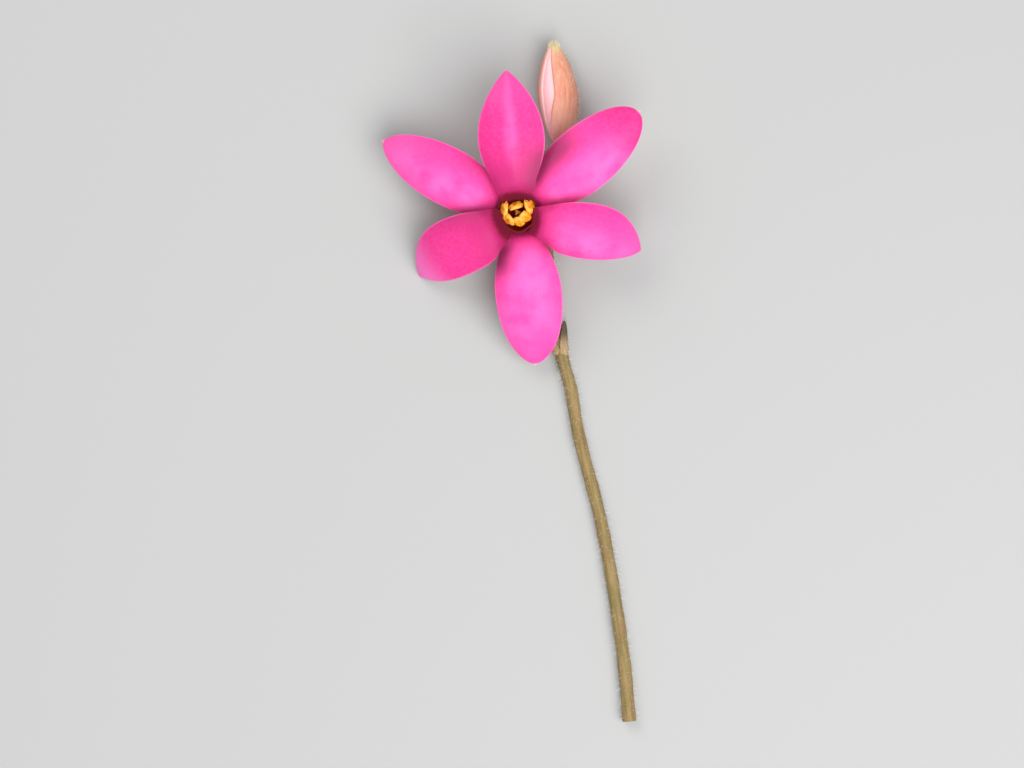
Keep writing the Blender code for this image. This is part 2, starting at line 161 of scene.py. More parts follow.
# tube: rings of points one after another, closed round, with both ends filled by one point
def tubeParts(rings, start=0):
    count, sides = rings.shape[:2]
    faces = gridFaces(count, sides, True, start)[:, ::-1]
    middle = np.full(sides, start + count * sides)
    first = start + np.arange(sides)
    last = first + (count - 1) * sides
    foot = np.stack([middle, np.roll(first, -1), first], -1)
    head = np.stack([middle + 1, last, np.roll(last, -1)], -1)
    points = np.concatenate([rings.reshape(-1, 3), rings[[0, -1]].mean(1)])
    return points, faces.tolist() + foot.tolist() + head.tolist()


# tube as an object, with "u" running along it and the ring's share as v
def tubeObject(name, rings, u=None, values=None):
    points, faces = tubeParts(rings)
    sides = rings.shape[1]
    along = np.linspace(0, 1, len(rings)) if u is None else u
    grid = np.stack(np.broadcast_arrays(along[:, None], np.arange(sides)[None] / sides), -1)
    uv = np.concatenate([grid.reshape(-1, 2), [[along[0], 0.5], [along[-1], 0.5]]])
    capped = {key: np.append(numbers.ravel(), [numbers.ravel()[0], numbers.ravel()[-1]])
              for key, numbers in (values or {}).items()}
    piece = meshObject(name, points, faces, uv, capped)
    faceOutwards(piece.data)
    return piece


# smooth curve through a few points (Catmull-Rom), evenly shared out between them
def smoothPath(points, count):
    given = np.array(points, float)
    padded = np.concatenate([[2 * given[0] - given[1]], given, [2 * given[-1] - given[-2]]])
    at = np.linspace(0, len(given) - 1, count)
    span = np.minimum(at.astype(int), len(given) - 2)
    t = (at - span)[:, None]
    p0, p1, p2, p3 = (padded[span + k] for k in range(4))
    return 0.5 * (2 * p1 + (p2 - p0) * t + (2 * p0 - 5 * p1 + 4 * p2 - p3) * t ** 2
                  + (3 * p1 - p0 - 3 * p2 + p3) * t ** 3)


# running length of a path, from 0 at its first point
def lengthAlong(path):
    steps = np.linalg.norm(np.diff(path[:, :3], axis=0), axis=1)
    return np.concatenate([[0], np.cumsum(steps)])


# a path's columns read off between its points, which lie at the values "marks"
def readOff(at, marks, path):
    return np.stack([np.interp(at, marks, column) for column in path.T], -1)


# directions of a path: along it, level to its right, and up from both
def pathFrame(path):
    along = unit(np.gradient(path, axis=0))
    right = unit(np.cross(along, [0.0, 0.0, 1.0]))
    return along, right, np.cross(right, along)


# 0 up to "low", 1 from "high" on, and three t squared less two t cubed between them
def smoothStep(low, high, x):
    t = np.clip((x - low) / (high - low), 0, 1)
    return t * t * (3 - 2 * t)


# Hairs: each is a three-sided tapered tube that starts on its root, leans along "comb" and
# bends on by a share of its length; all of them in one mesh, worked out as whole arrays
def hairObject(name, roots, outward, comb, form, seed):
    rng = np.random.default_rng(seed)
    count, levels, sides = len(roots), 4, 3
    t = np.linspace(0, 1, levels)[None, :, None]
    wander = unit(rng.normal(size=(count, 3)))
    reach = (form["length"] * rng.uniform(0.55, 1.1, count))[:, None, None]
    lift = unit(outward + 0.45 * wander)[:, None]
    curl = (comb + 0.6 * unit(rng.normal(size=(count, 3))))[:, None]
    spine = roots[:, None] + reach * (lift * t + form["bend"] * curl * t ** 2)
    side = unit(np.cross(lift[:, 0], wander))[:, None, None]
    other = np.cross(lift[:, 0], side[:, 0, 0])[:, None, None]
    taper = (form["radius"] * (1 - 0.85 * t ** 1.5))[..., None]
    rings = spine[:, :, None] + taper * spoke(side, other, roundAngles(sides)[None, None])
    rings[..., 2] = np.maximum(rings[..., 2], place["hairLowest"])
    index = np.arange(count * levels * sides).reshape(count, levels, sides)
    after = np.roll(index, -1, 2)
    walls = np.stack([index[:, :-1], after[:, :-1], after[:, 1:], index[:, 1:]], -1).reshape(-1, 4)
    faces = walls.tolist() + index[:, 0, ::-1].tolist() + index[:, -1].tolist()
    tip = np.broadcast_to(t[..., None], (count, levels, sides, 1))
    return meshObject(name, fromTable(rings.reshape(-1, 3)), faces, None, {"tip": tip})


# Material helpers. A Field is a value that runs over the surface, such as a noise, an attribute or
# a colour, and can be reckoned with as a number is

class Field:
    def __init__(self, socket):
        self.socket = socket
        self.tree = socket.id_data

    def math(self, operation, other=0.0, clamp=False):
        made = node(self.tree, "Math", {0: self, 1: other}, operation=operation, use_clamp=clamp)
        return Field(made.outputs[0])

    def __add__(self, other):
        return self.math("ADD", other)

    def __sub__(self, other):
        return self.math("SUBTRACT", other)

    def __mul__(self, other):
        return self.math("MULTIPLY", other)

    def __truediv__(self, other):
        return self.math("DIVIDE", other)

    def __abs__(self):
        return self.math("ABSOLUTE")

    # smooth step between two levels
    def ramp(self, low, high, first=0.0, second=1.0):
        made = node(self.tree, "MapRange", {"Value": self, "From Min": low, "From Max": high,
                                            "To Min": first, "To Max": second},
                    interpolation_type="SMOOTHSTEP")
        return Field(made.outputs[0])


# a socket takes a Field by a link, and a number or a colour as its own value
def feed(socket, value):
    if isinstance(value, Field):
        value.tree.links.new(value.socket, socket)
    else:
        socket.default_value = value


def node(tree, kind, inputs=None, **settings):
    made = tree.nodes.new("ShaderNode" + kind)
    for key, value in settings.items():
        setattr(made, key, value)
    for key, value in (inputs or {}).items():
        feed(made.inputs[key], value)
    return made


def newMaterial(name, **shaderValues):
    made = bpy.data.materials.new(name)
    made.use_nodes = True
    tree = made.node_tree
    shader = tree.nodes["Principled BSDF"]
    for key, value in shaderValues.items():
        shader.inputs[key.replace("_", " ")].default_value = value
    return made, tree, shader


# colours laid over one another, each by its own factor; a colour is a name in "look" or a Field
def layered(look, first, *layers):
    colour = look.get(first, first)
    for factor, over in layers:
        made = node(factor.tree, "Mix", data_type="RGBA")
        for key, value in (("Factor", factor), ("A", colour), ("B", look.get(over, over))):
            feed(next(s for s in made.inputs if s.name == key and s.enabled), value)
        colour = Field(next(s for s in made.outputs if s.enabled))
    return colour


def surfaceUv(tree):
    uv = node(tree, "UVMap", uv_map="surface")
    split = node(tree, "SeparateXYZ", {0: Field(uv.outputs[0])})
    return Field(split.outputs[0]), Field(split.outputs[1])


def attributeOf(tree, name):
    return Field(node(tree, "Attribute", attribute_name=name).outputs["Fac"])


def objectSpot(tree):
    return Field(node(tree, "TexCoord").outputs["Object"])


def noiseOf(tree, scale, detail=3.0, stretch=(1, 1, 1), vector=None):
    mapped = node(tree, "Mapping", {"Vector": vector or objectSpot(tree), "Scale": stretch})
    made = node(tree, "TexNoise", {"Vector": Field(mapped.outputs[0]), "Scale": scale, "Detail": detail})
    return Field(made.outputs[0])


# the colour, and a bump from a height that stands for "distance" in metres
def paint(shader, colour, height=None, strength=0.0, distance=0.0):
    feed(shader.inputs["Base Color"], colour)
    if height:
        bump = node(height.tree, "Bump", {"Height": height, "Strength": strength, "Distance": distance})
        feed(shader.inputs["Normal"], Field(bump.outputs[0]))


# Tepals

tepalLook = {
    "pink": (0.92, 0.045, 0.302, 1),
    # lilac: the colour of the painted highlight on the blades and tips, and of the faint paler mottle
    "lilac": (0.94, 0.158, 0.520, 1),
    # deeper pink: the veins and own mottle, and the painted shade on flanks, at some tips and on tepals
    # that face away from the light
    "deep": (0.62, 0.020, 0.190, 1),
    "ruby": (0.47, 0.018, 0.140, 1),
    "crimson": (0.30, 0.007, 0.066, 1),
    "maroon": (0.130, 0.0015, 0.018, 1),
    # colour of the painted shade where a tepal lies under its neighbour
    "underShadeColour": (0.34, 0.025, 0.114, 1),
    "rim": (0.96, 0.20, 0.50, 1),
    "beak": (0.88, 0.42, 0.42, 1),
    "reverse": (0.88, 0.17, 0.33, 1),
    "outerReverse": (0.80, 0.32, 0.24, 1),
    "outerVein": (0.56, 0.16, 0.12, 1),
    "veins": 11,                   # lines across a tepal
    "roughness": 0.50, "throatRoughness": 0.90,
}


# pink skin with a lilac painted highlight on the lit part of the blade, and a faint paler lilac mottle; at
# the tip a paler painted highlight or deeper painted shade, set per tepal; painted shade deepens it on the
# flanks, towards the base, in the corners by the base, where it lies under its neighbour and on tepals
# that face away from the light;
# maroon where it dips into the throat, with fine lines along it that follow its own width
def tepalMaterial():
    made, tree, shader = newMaterial("tepalSkin", Specular_IOR_Level=0.20, Sheen_Weight=0.03,
                                     Sheen_Roughness=0.45, Sheen_Tint=(1.0, 0.72, 0.92, 1),
                                     Subsurface_Weight=0.12, Subsurface_Scale=0.0006,
                                     Subsurface_Radius=(1.0, 0.25, 0.45))
    look = tepalLook
    along, across = surfaceUv(tree)
    wide = abs(across)
    grain = noiseOf(tree, 2600, 4)
    cloud = noiseOf(tree, 420, 2)
    names = ("outerWhorl", "underside", "depth", "tip", "throat", "lilacHighlight")
    outer, reverse, depth, tip, throat, lilacHighlight = (attributeOf(tree, name) for name in names)
    # painted highlight: a lilac patch laid on the part of each blade that faces the light, with its
    # strength, place across and spread set per tepal
    offset = abs(across - attributeOf(tree, "lilacHighlightPlace")) / attributeOf(tree, "lilacHighlightSpread")
    middle = offset.ramp(1.0, 0.05) * along.ramp(0.04, outer.ramp(0.0, 1.0, 0.30, 0.15))
    lilac = middle * along.ramp(1.0, 0.62, 0.25, 1.0) * cloud.ramp(0.30, 0.66, 0.25, 1.0) * lilacHighlight
    # deeper pink from a random mottle of its own, and painted shade over whole tepals that face away from
    # the light, by the value depth
    deeperToneAndShade = noiseOf(tree, 1300, 4).ramp(0.50, 0.72, 0.0, 0.30).math("MAXIMUM", depth)
    # painted highlight and painted shade at the tip: paler lilac where a tip faces the light, deeper where
    # it turns away, as each tepal's tip value sets
    end = along.ramp(0.55, 0.90)
    pale = end.math("MULTIPLY", tip, clamp=True)
    dark = end.math("MULTIPLY", tip * -1.0, clamp=True)
    # painted shade: deeper pink on the flanks towards the base, strongest on the outer whorl, where the
    # arched flanks turn down under the inner tepals
    flankShade = wide.ramp(0.45, 0.95) * along.ramp(0.75, 0.15) * outer.ramp(0.0, 1.0, 0.7, 0.2)
    line = (across * (look["veins"] * pi)).math("SINE")
    vein = abs(line).ramp(0.35, 0.0) * cloud.ramp(0.35, 0.65, 0.2, 1.0)
    low = along.ramp(0.25, 0.02, 0.0, 0.95) * throat
    # painted shade: ruby towards the base of the tepals that face away from the light, by the same depth
    # value
    base = along.ramp(0.52, 0.10) * depth
    # painted shade: crimson in the corners either side of the base, in the creases where the tepals meet
    corner = wide.ramp(0.45, 0.95) * along.ramp(0.18, 0.05) * throat.ramp(0.0, 1.0, 0.0, 0.5)
    # painted shade where the tepal lies under its neighbour, on the side and up to the share of the length
    # set per tepal
    past = along / attributeOf(tree, "underShadeReach")
    side = (across * attributeOf(tree, "underShade")).ramp(0.10, 0.75) * past.ramp(1.0, 0.5)
    uneven = along + (grain - 0.5) * 0.03 + wide.ramp(0.30, 1.0, 0.0, 0.020)
    foot = uneven.ramp(0.095, -0.006) * throat
    rim = uneven.ramp(0.042, 0.0) * throat
    edge = wide.ramp(0.93, 1.0) * along.ramp(0.10, 0.30)
    back = reverse * wide.ramp(1.0, 0.2, 0.2, 0.65)
    covered = reverse * outer * wide.ramp(1.0, 0.6, 0.15, 0.85)
    tan = layered(look, "outerReverse", (vein * 0.8, "outerVein"),
                  (grain.ramp(0.45, 0.7, 0.0, 0.3), "outerVein"))
    colour = layered(
        look, "pink", (deeperToneAndShade, "deep"), (lilac * 0.75, "lilac"), (pale, "lilac"), (dark, "deep"),
        (flankShade, "deep"), (vein * along.ramp(1.0, 0.5, 0.05, 0.22), "deep"),
        (grain.ramp(0.36, 0.64, 0.0, 0.10), "lilac"), (low, "ruby"), (base, "ruby"),
        (corner, "crimson"), (side, "underShadeColour"), (foot, "crimson"), (rim, "maroon"),
        (edge * 0.45, "rim"), (along.ramp(0.988, 1.004), "beak"), (back, "reverse"), (covered, tan))
    dull = along.ramp(0.12, 0.02, look["roughness"], look["throatRoughness"])
    feed(shader.inputs["Roughness"], dull)
    paint(shader, colour, vein * -0.25 + noiseOf(tree, 7000, 2), 0.35, 0.00004)
    return made


# ring: place on the ring in degrees; heading, slope and roll at the start; twist, sweep and droop
# gathered by the tip, "late" saying how late it droops; length and half widths (left, right) in mm,
# with the share of the length at which each is greatest; base: width at the base as a share;
# pointed: shape of the tip; ridge: height of the midrib in mm; wave: unevenness of the edge in mm;
# lilacHighlight: the lilac painted highlight it takes, as its strength, its place across (+ left) and its
# spread; depth: how much deeper its pink is, painted shade for a tepal that faces away from the light;
# over: mm that its foot leans over the throat; underShade: how far painted shade darkens it where it
# lies under its neighbour (+ left), and underShadeReach: the share of the length to which it does;
# tip: a paler painted highlight (+) or deeper painted shade (-) there; throat: strength of its dark foot
tepals = {
    "innerTepal1": dict(
        node="inner_tepal_1", ring=95, heading=93, slope=2, roll=0, twist=0, sweep=3, droop=30,
        late=1.6, length=12.5, half=(3.6, 3.5), widest=(0.42, 0.42), base=0.50, pointed=0.90,
        ridge=0.10, wave=0.05, lilacHighlight=(0.75, 0.0, 0.34), depth=0.66, over=0.45, underShade=-0.75,
        underShadeReach=0.42, tip=0.2, throat=1.0),
    "innerTepal2": dict(
        node="inner_tepal_2", ring=-25, heading=-7, slope=-1, roll=6, twist=-12, sweep=-29,
        droop=56, late=1.6, length=12.5, half=(3.3, 3.0), widest=(0.52, 0.28), base=0.50,
        pointed=0.85, ridge=0.04, wave=0.06, lilacHighlight=(0.85, -0.50, 1.0), depth=0.10, over=0.0,
        underShade=0.0, underShadeReach=0.5, tip=0.3, throat=0.85),
    "innerTepal3": dict(
        node="inner_tepal_3", ring=215, heading=205, slope=-4, roll=-4, twist=12, sweep=25,
        droop=64, late=1.3, length=13.45, half=(3.25, 3.5), widest=(0.24, 0.48), base=0.54,
        pointed=0.86, ridge=0.04, wave=0.06, lilacHighlight=(0.05, 0.0, 0.75), depth=0.62, over=0.0,
        underShade=-0.40, underShadeReach=0.6, tip=1.0, throat=1.0),
    "outerTepal1": dict(
        node="outer_tepal_1", ring=35, heading=39, slope=4, roll=6, twist=-6, sweep=0, droop=30,
        late=1.6, length=13.9, half=(3.6, 3.6), widest=(0.43, 0.38), base=0.55, pointed=0.5,
        ridge=0.03, wave=0.06, lilacHighlight=(1.0, -0.85, 1.5), depth=0.0, over=0.25, underShade=1.1,
        underShadeReach=0.66, tip=-0.8, throat=0.35),
    "outerTepal2": dict(
        node="outer_tepal_2", ring=155, heading=152.5, slope=0, roll=-4, twist=8, sweep=6,
        droop=42, late=1.5, length=14.3, half=(3.35, 3.15), widest=(0.32, 0.40), base=0.58,
        pointed=0.62, ridge=0.05, wave=0.05, lilacHighlight=(0.95, 0.35, 1.0), depth=0.0, over=0.25,
        underShade=-0.5, underShadeReach=0.50, tip=0.35, throat=0.40),
    "outerTepal3": dict(
        node="outer_tepal_3", ring=275, heading=277, slope=4, roll=0, twist=0, sweep=-3, droop=38,
        late=1.6, length=14.4, half=(3.8, 3.6), widest=(0.42, 0.42), base=0.55, pointed=0.55,
        ridge=0.03, wave=0.06, lilacHighlight=(0.78, -0.10, 1.9), depth=0.0, over=0.0, underShade=-0.95,
        underShadeReach=0.38, tip=0.1, throat=0.6),
}
tepalForm = {
    "ringRadius": 2.3,              # mm
    "whorlStep": 1.4,               # mm that the outer whorl starts lower
    "startRise": 32,                # degrees
    "riseSpan": 0.05,
    "outerArch": (50, 25),          # half angle of the arched section, at the base and the tip
    "innerArch": (34, 22),
    "claw": 0.085,                  # share of the length that dips on into the throat
    "clawRise": 68,                 # degrees at its lower end
    "clawHalf": 1.15,               # mm
    "clawArch": -34,                # hollow side to the throat
    "beak": 0.13,                   # half width of the point at an outer tepal's tip, mm
    "beakLength": 0.018,
    "ridgeSpan": 0.20,              # share of the half width
    "pleat": 0.010,                 # mm, the height of the fine lines
    "thickness": 0.30,              # mm, and at the edge
    "edgeThickness": 0.10,
    "rows": 110,
    "columns": 44,
    "crowding": 0.96,               # how far the columns crowd to the edges, 0 to 1
}


# half width on one side: swells from the base as a quarter wave, then closes to the tip as
# (1 - share squared) to the power "pointed"
def halfWidth(u, shape, side):
    widest = shape["widest"][side]
    swelling = shape["base"] + (1 - shape["base"]) * np.sin(pi / 2 * np.clip(u / widest, 0, 1))
    closing = (1 - np.clip((u - widest) / (1 - widest), 0, 1) ** 2) ** shape["pointed"]
    return shape["half"][side] * np.where(u < widest, swelling, closing)


# the midline is the running sum of its direction, which starts steep in the throat, levels off,
# then droops by a power of the length and sweeps sideways; across it the blade is an arc, whose
# angle runs from hollow in the throat to arched on the blade
def buildTepal(name, shape, material):
    form = tepalForm
    outer = name.startswith("outer")
    arches = form["outerArch"] if outer else form["innerArch"]
    beyond = form["beakLength"] if outer else 0.0
    share = np.linspace(0, 1, form["rows"])
    u = -form["claw"] + (1 + beyond + form["claw"]) * (0.55 * share + 0.45 * np.sin(pi / 2 * share))
    crowding = pi / 2 * form["crowding"]
    v = np.sin(np.linspace(-1, 1, form["columns"]) * crowding) / sin(crowding)
    blade = np.clip(u, 0, 1)
    dip = np.clip(-u / form["claw"], 0, 1)
    pitch = form["startRise"] * np.exp(-blade / form["riseSpan"]) - shape["droop"] * blade ** shape["late"]
    pitch = np.radians(pitch + dip * (form["clawRise"] - form["startRise"]))
    yaw, twist = (np.radians(shape[key] * blade) for key in ("sweep", "twist"))
    heading, slope, roll, ring = (radians(shape[key]) for key in ("heading", "slope", "roll", "ring"))
    forward = np.array([cos(slope) * cos(heading), cos(slope) * sin(heading), sin(slope)])
    level = np.array([-sin(heading), cos(heading), 0.0])
    left = level * cos(roll) + np.cross(forward, level) * sin(roll)
    along = spoke(spoke(forward, left, yaw), np.cross(forward, left), pitch)
    across = spoke(left, -forward, yaw)
    normal = np.cross(along, across)
    across, normal = spoke(across, normal, twist), spoke(normal, -across, twist)
    steps = (along[1:] + along[:-1]) / 2 * np.diff(u)[:, None]
    travelled = np.concatenate([np.zeros((1, 3)), np.cumsum(steps, axis=0)])
    outward = np.array([cos(ring), sin(ring), 0.0])
    start = form["ringRadius"] * outward - [0, 0, form["whorlStep"] if outer else 0.0]
    midline = (start + shape["length"] * (travelled - readOff(0.0, u, travelled))
               - outward * shape["over"] * smoothStep(0.16, 0.0, u)[:, None])

    claw = smoothStep(0.0, 1.0, dip)[:, None]
    half = np.where(v > 0, halfWidth(blade, shape, 0)[:, None], halfWidth(blade, shape, 1)[:, None])
    half = half * (1 - claw) + form["clawHalf"] * claw
    if outer:
        tip = np.clip((1 + beyond - u) / beyond, 0, 1)[:, None] ** 0.6
        half = np.sqrt(half ** 2 + (form["beak"] * tip) ** 2 * (u > 0.9)[:, None])
    arch = np.radians(arches[0] + (arches[1] - arches[0]) * blade)[:, None]
    hold = smoothStep(-0.06, 0.10, u)[:, None]
    arch = radians(form["clawArch"]) * (1 - hold) + arch * hold
    arch = np.where(np.abs(arch) < 0.01, 0.01, arch)
    phase = shape["ring"] * 0.7
    ripple = shape["wave"] * np.abs(v) ** 3 * np.sin(9 * u[:, None] + 2.5 * np.sign(v) + phase)
    rib = shape["ridge"] * np.exp(-(v / form["ridgeSpan"]) ** 2)
    rib = rib * (smoothStep(0.02, 0.25, blade) * smoothStep(1.0, 0.55, blade))[:, None]
    pleat = form["pleat"] * np.cos(v * pi * tepalLook["veins"]) * (1 - v ** 4)
    rise = (ripple + rib + pleat) * (1 - claw) * smoothStep(1.0, 0.9, blade)[:, None]
    aside = (half / arch * np.sin(arch * v))[..., None]
    fall = (half / arch * (1 - np.cos(arch * v)) - rise)[..., None]
    top = midline[:, None] + aside * across[:, None] - fall * normal[:, None]

    thin = form["edgeThickness"] + (form["thickness"] - form["edgeThickness"]) * (1 - v ** 4)
    thin = thin * (0.35 + 0.65 * smoothStep(1.02, 0.85, u))[:, None]
    tilt = arch * v * np.minimum(1.0, 2 * half / half.max())
    bottom = top - thin[..., None] * spoke(normal[:, None], across[:, None], tilt)
    everywhere = dict(zip(("lilacHighlight", "lilacHighlightPlace", "lilacHighlightSpread"), shape["lilacHighlight"]))
    everywhere |= {key: shape[key] for key in ("depth", "underShade", "underShadeReach", "tip", "throat")}
    everywhere["outerWhorl"] = float(outer)
    values = {key: np.full(top.shape[:2], value) for key, value in everywhere.items()}
    piece = bladeObject(name, fromBloom(top), fromBloom(bottom), u, v, values)
    piece.data.materials.append(material)
    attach(piece, "root")
    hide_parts(shape["node"])


tepalSkin = tepalMaterial()
for name, shape in tepals.items():
    buildTepal(name, shape, tepalSkin)
print("tepals made")


# Cup

cup = {
    "profile": [(1.2, -3.3), (1.5, -2.9), (1.82, -2.2), (1.98, -1.5), (2.04, -0.9), (2.02, -0.5),
                (1.94, -0.42), (1.86, -0.55), (1.80, -1.1), (1.62, -1.7), (1.2, -2.25), (0.5, -2.5)],
    "ribs": 6,
    "ribDepth": 0.06,               # share by which the wall swells in line with the tepals
    "ribTurn": 35,                  # degrees, the bearing of the first rib
    "rows": 90,
    "sides": 96,
    "outside": (0.36, 0.040, 0.07, 1),
    "inside": (0.22, 0.005, 0.002, 1),
    "rim": (0.085, 0.006, 0.007, 1),
}


# outline turned round the axis, its radius swelling six times
def buildCup():
    made, tree, shader = newMaterial("cupSkin", Roughness=0.75, Specular_IOR_Level=0.25)
    along = surfaceUv(tree)[0]
    patch = noiseOf(tree, 1800, 3)
    ringPart = along.ramp(0.36, 0.50) * along.ramp(0.68, 0.54)
    colour = layered(cup, "outside", (along.ramp(0.46, 0.60), "inside"), (ringPart, "rim"),
                     (patch.ramp(0.35, 0.7, 0.0, 0.35), "inside"))
    paint(shader, colour, patch, 0.3, 0.00005)
    path = smoothPath(cup["profile"], cup["rows"])
    angle = roundAngles(cup["sides"])
    swell = 1 + cup["ribDepth"] / 2 * np.cos(cup["ribs"] * (angle - radians(cup["ribTurn"])))
    piece = tubeObject("perianthCup", fromBloom(turnedRings(path[:, :1] * swell, path[:, 1], angle)))
    piece.data.materials.append(made)
    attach(piece, "root")
    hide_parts("perianth_cup")


buildCup()
print("cup made")


# Stamens: bearing and reach of the anther's middle from the bloom's axis in mm, height of its top,
# lean towards the axis and turn about its own length in degrees, and its width in mm
stamens = {
    "stamen1": dict(node="stamen_1", bearing=104, reach=0.76, top=0.24, lean=14, turn=-4, width=1.46),
    "stamen2": dict(node="stamen_2", bearing=28, reach=1.50, top=0.45, lean=28, turn=2, width=1.46),
    "stamen3": dict(node="stamen_3", bearing=-28, reach=0.93, top=0.25, lean=42, turn=12, width=1.34),
    "stamen4": dict(node="stamen_4", bearing=-76, reach=0.92, top=0.35, lean=38, turn=8, width=1.24),
    "stamen5": dict(node="stamen_5", bearing=217, reach=1.14, top=0.30, lean=30, turn=-4, width=1.52),
    "stamen6": dict(node="stamen_6", bearing=164, reach=1.38, top=0.40, lean=24, turn=-10, width=1.56),
}
stamenForm = {
    "foot": 0.75, "floor": -2.0,    # mm, where the filament stands
    "filament": 0.13,
    "length": 1.45,                 # of the anther
    "depth": 0.31,                  # half thickness of a lobe
    "groove": 0.55, "notch": 0.30,  # depth and width of the groove between the lobes
    "bow": 0.16,                    # mm that the lobes curl outwards
    # height, folds round it, folds up it and shift of each crumple
    "crumples": [(0.10, 3, 9, 1), (0.07, 5, -14, 2), (0.045, 9, 21, 1)],
    "sides": 40,
    "rows": 44,
    "orange": (0.90, 0.26, 0.006, 1),
    "yellow": (0.95, 0.38, 0.012, 1),
    "cream": (0.97, 0.53, 0.11, 1),
    "stalk": (0.22, 0.012, 0.010, 1),
    # colour of the painted shade in the groove between the lobes
    "grooveShade": (0.80, 0.20, 0.006, 1),
}


# orange skin with grains of pollen, with painted shade deeper in the groove between the two lobes and a
# paler cream painted highlight towards the top end
def antherMaterial():
    made, tree, shader = newMaterial("antherSkin", Roughness=0.72, Specular_IOR_Level=0.3,
                                     Subsurface_Weight=0.15, Subsurface_Scale=0.0003)
    along = surfaceUv(tree)[0]
    cells = node(tree, "TexVoronoi", {"Vector": objectSpot(tree), "Scale": 13000.0})
    grain = Field(cells.outputs["Distance"])
    patch = noiseOf(tree, 1500, 3)
    colour = layered(
        stamenForm, "orange", (patch.ramp(0.38, 0.62), "yellow"),
        # painted highlight: paler cream towards the top end; the cream grains are pollen
        (along.ramp(0.74, 1.0, 0.0, 0.65), "cream"), (grain.ramp(0.5, 0.05, 0.0, 0.22), "cream"),
        # painted shade: deeper orange in the groove between the lobes
        (attributeOf(tree, "groove"), "grooveShade"), (along.ramp(0.42, 0.34), "stalk"))
    paint(shader, colour, grain * -1.0, 0.6, 0.00003)
    return made


# profile carried up a path: a round filament, then a section of two lobes side by side; the
# anther swells and closes as a power of a half wave and leans in by a turn of its own
def buildStamen(name, shape, material):
    form = stamenForm
    stalkRows = form["rows"] // 4
    lobeRows = form["rows"] - stalkRows
    climb = np.concatenate([np.linspace(0, 1, stalkRows, endpoint=False), np.ones(lobeRows)])
    passed = np.concatenate([np.zeros(stalkRows), 0.5 - 0.5 * np.cos(np.linspace(0, pi, lobeRows))])
    bearing, tilt, turn = (radians(shape[key]) for key in ("bearing", "lean", "turn"))
    outward = np.array([cos(bearing), sin(bearing), 0.0])
    sideways = np.array([-outward[1], outward[0], 0.0])
    upward = np.array([0.0, 0.0, 1.0])
    axis = upward * cos(tilt) - outward * sin(tilt)
    front = outward * cos(tilt) + upward * sin(tilt)
    across, front = (sideways * cos(turn) + front * sin(turn), front * cos(turn) - sideways * sin(turn))
    length = form["length"]
    middle = outward * shape["reach"] + upward * (shape["top"] - length / 2 * cos(tilt))
    foot = middle - axis * length / 2
    root = outward * form["foot"] + upward * form["floor"]
    spine = root + (foot - root) * climb[:, None] + axis * length * passed[:, None]
    full = (np.sin(pi * np.clip(passed, 0.02, 0.98)) ** 0.45 * (passed > 0))[:, None]
    wide = form["filament"] + (shape["width"] / 2 - form["filament"]) * full
    deep = form["filament"] + (form["depth"] - form["filament"]) * full
    angle = roundAngles(form["sides"])
    notch = np.exp(-(np.cos(angle) / form["notch"]) ** 2)
    waist = 1 - form["groove"] * notch * full
    bow = form["bow"] * (np.cos(angle) ** 2)[None] * full
    phase = bearing * 3
    crumple = 1 + full * sum(height * np.sin(folds * angle + climbs * passed[:, None] + shift * phase)
                             for height, folds, climbs, shift in form["crumples"])
    rings = (spine[:, None] + (wide * np.cos(angle) * crumple)[..., None] * across
             - (deep * np.sin(angle) * waist * crumple + bow)[..., None] * front)
    share = np.where(passed > 0, 0.4 + 0.6 * passed, 0.38 * climb)
    piece = tubeObject(name, fromBloom(rings), share, {"groove": notch * full * 0.6})
    piece.data.materials.append(material)
    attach(piece, "root")
    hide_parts(shape["node"])


antherSkin = antherMaterial()
for name, shape in stamens.items():
    buildStamen(name, shape, antherSkin)
print("stamens made")


# Stigma

stigma = {
    "foot": -2.2, "height": 1.75,   # mm
    "style": 0.17, "head": 0.27,    # radii, mm
    "lobes": 0.32,
    "rows": 36, "sides": 42,
    "colour": (0.22, 0.035, 0.012, 1),
    "tip": (0.62, 0.22, 0.035, 1),
}


# style with a head of three lobes: its radius swells three times round the axis near the top
def buildStigma():
    made, tree, shader = newMaterial("stigmaSkin", Roughness=0.55)
    patch = noiseOf(tree, 5000, 2)
    colour = layered(stigma, "colour", (surfaceUv(tree)[0].ramp(0.55, 0.9), "tip"),
                     (patch.ramp(0.3, 0.7, 0.0, 0.4), "colour"))
    paint(shader, colour, patch, 0.5, 0.00003)
    t = np.linspace(0, 1, stigma["rows"])
    angle = roundAngles(stigma["sides"])
    swell = smoothStep(0.5, 0.78, t) * np.sqrt(np.clip(1 - ((t - 0.72) / 0.28) ** 8, 0.02, 1))
    radius = stigma["style"] * np.clip(np.sqrt(1 - t ** 30), 0.05, 1)
    radius = radius + (stigma["head"] - stigma["style"]) * swell
    reach = radius[:, None] * (1 + stigma["lobes"] * swell[:, None] * np.cos(3 * angle))
    rings = turnedRings(reach, stigma["foot"] + stigma["height"] * t, angle)
    piece = tubeObject("stigma3Lobed", fromBloom(rings))
    piece.data.materials.append(made)
    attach(piece, "root")
    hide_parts("stigma")


buildStigma()
print("stigma made")


# Stem

scapeLook = {
    "light": (0.278, 0.188, 0.074, 1),     # tan
    "dark": (0.185, 0.139, 0.044, 1),      # olive
    "patch": (0.20, 0.100, 0.036, 1),      # brown
    "pith": (0.60, 0.58, 0.30, 1),
    "cutRing": (0.22, 0.20, 0.060, 1),
}
